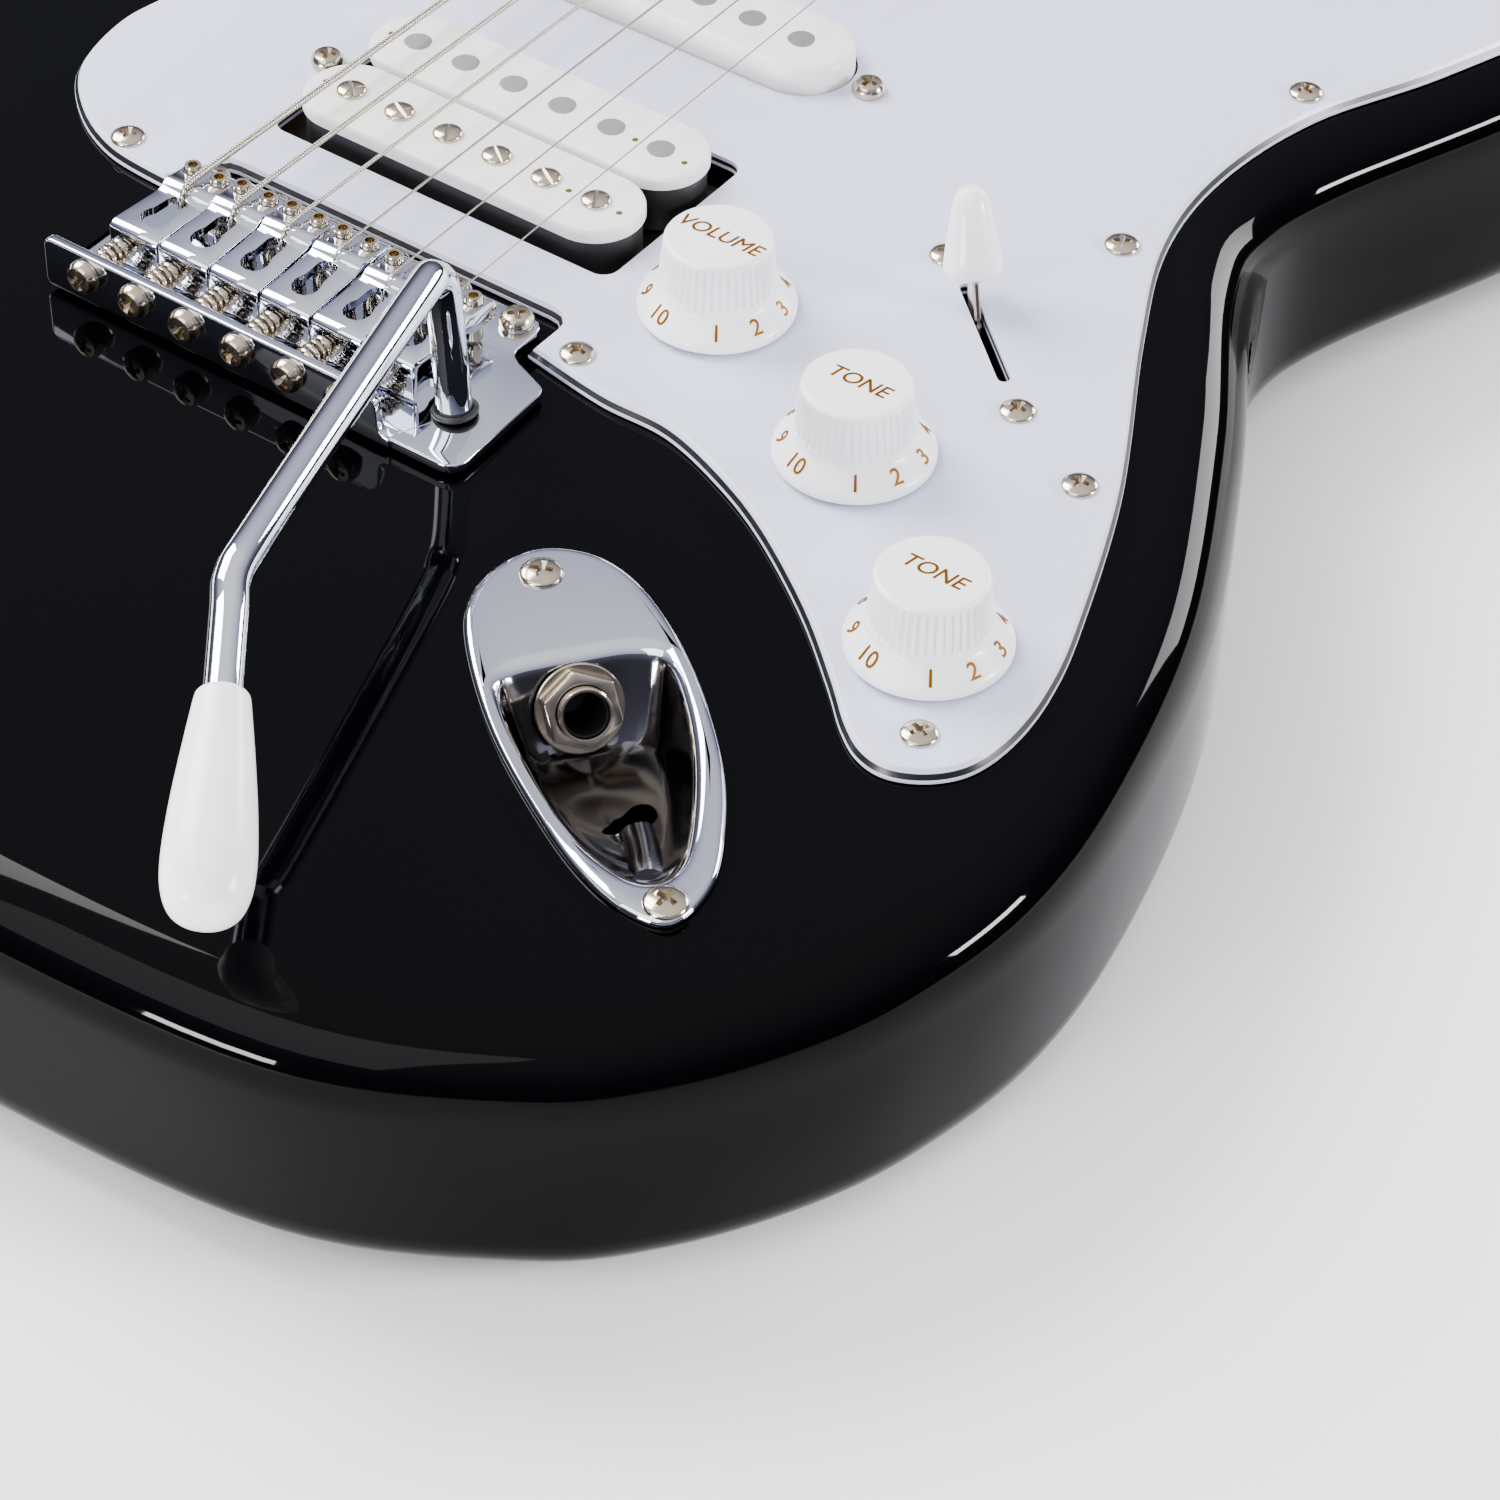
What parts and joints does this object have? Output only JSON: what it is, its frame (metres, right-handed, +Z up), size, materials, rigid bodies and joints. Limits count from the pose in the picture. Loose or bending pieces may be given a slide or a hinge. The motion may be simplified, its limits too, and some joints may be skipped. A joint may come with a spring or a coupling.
{
  "type": "electric guitar",
  "caption": "Solid-body electric guitar with tremolo bridge, humbucker and single-coil pickups, three knobs, lever switch, jack plate and bolt-on neck",
  "frame": {"origin": "under the middle of the whole guitar's bounding box, on the surface its back lies on", "axes": "+Y along the strings towards the headstock, +Z up out of the body's face, +X towards the thinnest string"},
  "size_m": [0.324, 0.9936, 0.0844],
  "materials": {
    "black_lacquer": "lime-wood blank under deep black polyester lacquer, buffed to a mirror gloss",
    "pickguard_plastic": "white-black-white laminated sheet, bevelled edge, semi-gloss",
    "white_plastic": "injection-moulded white ABS, gloss",
    "black_plastic": "black phenolic board",
    "chrome": "bright chrome plate on polished steel and zinc",
    "nickel": "warm nickel plate",
    "cast_steel": "plated cast block, satin",
    "spring_steel": "bright drawn spring wire",
    "string_steel": "plain and nickel-wound steel strings",
    "maple": "maple, satin clear coat",
    "rosewood": "open-grained dark rosewood, oiled, with nickel-silver frets",
    "bone": "polished cream nut"
  },
  "bodies": {
    "guitar": {"body": "black_lacquer", "pickguard": "pickguard_plastic", "screw_coil_bobbin": "white_plastic", "slug_coil_bobbin": "white_plastic", "middle_pickup": "white_plastic", "neck_pickup": "white_plastic", "tremolo_cover": "white_plastic", "switch_body": "black_plastic", "jack_plate": "chrome", "neck_plate": "chrome", "tail_strap_button": "chrome", "horn_strap_button": "chrome", "tuner_strip": "chrome", "string_tree": "chrome", "humbucker_baseplate": "nickel", "volume_pot": "nickel", "middle_tone_pot": "nickel", "neck_tone_pot": "nickel", "jack_socket": "nickel", "jack_nut": "nickel", "spring_claw": "spring_steel", "tremolo_spring_1": "spring_steel", "tremolo_spring_2": "spring_steel", "tremolo_spring_3": "spring_steel", "string_1": "string_steel", "string_2": "string_steel", "string_3": "string_steel", "string_4": "string_steel", "string_5": "string_steel", "string_6": "string_steel", "neck": "maple", "fretboard": "rosewood", "nut": "bone"},
    "tremolo": {"bridge_plate": "chrome", "inertia_block": "cast_steel"},
    "arm": {"tremolo_arm": "chrome", "arm_tip": "white_plastic"},
    "volume_knob": {"volume_knob": "white_plastic"},
    "middle_tone_knob": {"middle_tone_knob": "white_plastic"},
    "neck_tone_knob": {"neck_tone_knob": "white_plastic"},
    "switch_lever": {"switch_lever": "nickel", "switch_tip": "white_plastic"},
    "saddle_1": {"saddle_1": "chrome"},
    "saddle_2": {"saddle_2": "chrome"},
    "saddle_3": {"saddle_3": "chrome"},
    "saddle_4": {"saddle_4": "chrome"},
    "saddle_5": {"saddle_5": "chrome"},
    "saddle_6": {"saddle_6": "chrome"},
    "tuner_button_1": {"tuner_button_1": "chrome"},
    "tuner_button_2": {"tuner_button_2": "chrome"},
    "tuner_button_3": {"tuner_button_3": "chrome"},
    "tuner_button_4": {"tuner_button_4": "chrome"},
    "tuner_button_5": {"tuner_button_5": "chrome"},
    "tuner_button_6": {"tuner_button_6": "chrome"},
    "tuner_post_1": {"tuner_post_1": "chrome"},
    "tuner_post_2": {"tuner_post_2": "chrome"},
    "tuner_post_3": {"tuner_post_3": "chrome"},
    "tuner_post_4": {"tuner_post_4": "chrome"},
    "tuner_post_5": {"tuner_post_5": "chrome"},
    "tuner_post_6": {"tuner_post_6": "chrome"}
  },
  "joints": [
    {"name": "tremolo_tilt", "type": "hinge", "parent": "guitar", "child": "tremolo", "pos_m": [-0.00555, -0.3332, 0.0481], "axis": [1, 0, 0], "range_deg": [-10, 0], "stiffness_Nm_per_rad": 15, "deforming": ["string_1", "string_2", "string_3", "string_4", "string_5", "string_6", "tremolo_spring_1", "tremolo_spring_2", "tremolo_spring_3"]},
    {"name": "arm_swing", "type": "hinge", "parent": "tremolo", "child": "arm", "pos_m": [0.03205, -0.3563, 0.0499], "axis": [-0.1125, 0.0233, 0.9934], "range_deg": [-20, 90]},
    {"name": "volume_turn", "type": "hinge", "parent": "guitar", "child": "volume_knob", "pos_m": [0.04925, -0.3101, 0.0505], "axis": [0, 0, 1], "range_deg": [-150, 150]},
    {"name": "middle_tone_turn", "type": "hinge", "parent": "guitar", "child": "middle_tone_knob", "pos_m": [0.08795, -0.3274, 0.0505], "axis": [0, 0, 1], "range_deg": [-150, 150]},
    {"name": "neck_tone_turn", "type": "hinge", "parent": "guitar", "child": "neck_tone_knob", "pos_m": [0.12205, -0.3575, 0.0505], "axis": [0, 0, 1], "range_deg": [-150, 150]},
    {"name": "pickup_select", "type": "hinge", "parent": "guitar", "child": "switch_lever", "pos_m": [0.08705, -0.2892, 0.0293], "axis": [0.667, 0.745, 0], "range_deg": [0, 35.6]},
    {"name": "saddle_1_intonation", "type": "slide", "parent": "tremolo", "child": "saddle_1", "axis": [0, 1, 0], "range_m": [-0.003, 0.003]},
    {"name": "saddle_2_intonation", "type": "slide", "parent": "tremolo", "child": "saddle_2", "axis": [0, 1, 0], "range_m": [-0.003, 0.003]},
    {"name": "saddle_3_intonation", "type": "slide", "parent": "tremolo", "child": "saddle_3", "axis": [0, 1, 0], "range_m": [-0.003, 0.003]},
    {"name": "saddle_4_intonation", "type": "slide", "parent": "tremolo", "child": "saddle_4", "axis": [0, 1, 0], "range_m": [-0.003, 0.003]},
    {"name": "saddle_5_intonation", "type": "slide", "parent": "tremolo", "child": "saddle_5", "axis": [0, 1, 0], "range_m": [-0.003, 0.003]},
    {"name": "saddle_6_intonation", "type": "slide", "parent": "tremolo", "child": "saddle_6", "axis": [0, 1, 0], "range_m": [-0.003, 0.003]},
    {"name": "tuner_1_turn", "type": "hinge", "parent": "guitar", "child": "tuner_button_1", "pos_m": [-0.03696, 0.33973, 0.0257], "axis": [-0.9659, 0.259, 0], "continuous": true},
    {"name": "tuner_2_turn", "type": "hinge", "parent": "guitar", "child": "tuner_button_2", "pos_m": [-0.03036, 0.36436, 0.0257], "axis": [-0.9659, 0.259, 0], "continuous": true},
    {"name": "tuner_3_turn", "type": "hinge", "parent": "guitar", "child": "tuner_button_3", "pos_m": [-0.02375, 0.38899, 0.0257], "axis": [-0.9659, 0.259, 0], "continuous": true},
    {"name": "tuner_4_turn", "type": "hinge", "parent": "guitar", "child": "tuner_button_4", "pos_m": [-0.01715, 0.41362, 0.0257], "axis": [-0.9659, 0.259, 0], "continuous": true},
    {"name": "tuner_5_turn", "type": "hinge", "parent": "guitar", "child": "tuner_button_5", "pos_m": [-0.01055, 0.43825, 0.0257], "axis": [-0.9659, 0.259, 0], "continuous": true},
    {"name": "tuner_6_turn", "type": "hinge", "parent": "guitar", "child": "tuner_button_6", "pos_m": [-0.00394, 0.46288, 0.0257], "axis": [-0.9659, 0.259, 0], "continuous": true},
    {"name": "tuner_1_wind", "type": "hinge", "parent": "guitar", "child": "tuner_post_1", "pos_m": [-0.02605, 0.3368, 0.0473], "axis": [0, 0, 1], "continuous": true},
    {"name": "tuner_2_wind", "type": "hinge", "parent": "guitar", "child": "tuner_post_2", "pos_m": [-0.01945, 0.36143, 0.0473], "axis": [0, 0, 1], "continuous": true},
    {"name": "tuner_3_wind", "type": "hinge", "parent": "guitar", "child": "tuner_post_3", "pos_m": [-0.01284, 0.38606, 0.0473], "axis": [0, 0, 1], "continuous": true},
    {"name": "tuner_4_wind", "type": "hinge", "parent": "guitar", "child": "tuner_post_4", "pos_m": [-0.00624, 0.41069, 0.0473], "axis": [0, 0, 1], "continuous": true},
    {"name": "tuner_5_wind", "type": "hinge", "parent": "guitar", "child": "tuner_post_5", "pos_m": [0.00037, 0.43532, 0.0473], "axis": [0, 0, 1], "continuous": true},
    {"name": "tuner_6_wind", "type": "hinge", "parent": "guitar", "child": "tuner_post_6", "pos_m": [0.00697, 0.45995, 0.0473], "axis": [0, 0, 1], "continuous": true}
  ],
  "couplings": [
    {"joint": "tuner_1_wind", "follows": "tuner_1_turn", "ratio": 0.066667},
    {"joint": "tuner_2_wind", "follows": "tuner_2_turn", "ratio": 0.066667},
    {"joint": "tuner_3_wind", "follows": "tuner_3_turn", "ratio": 0.066667},
    {"joint": "tuner_4_wind", "follows": "tuner_4_turn", "ratio": 0.066667},
    {"joint": "tuner_5_wind", "follows": "tuner_5_turn", "ratio": 0.066667},
    {"joint": "tuner_6_wind", "follows": "tuner_6_turn", "ratio": 0.066667}
  ]
}
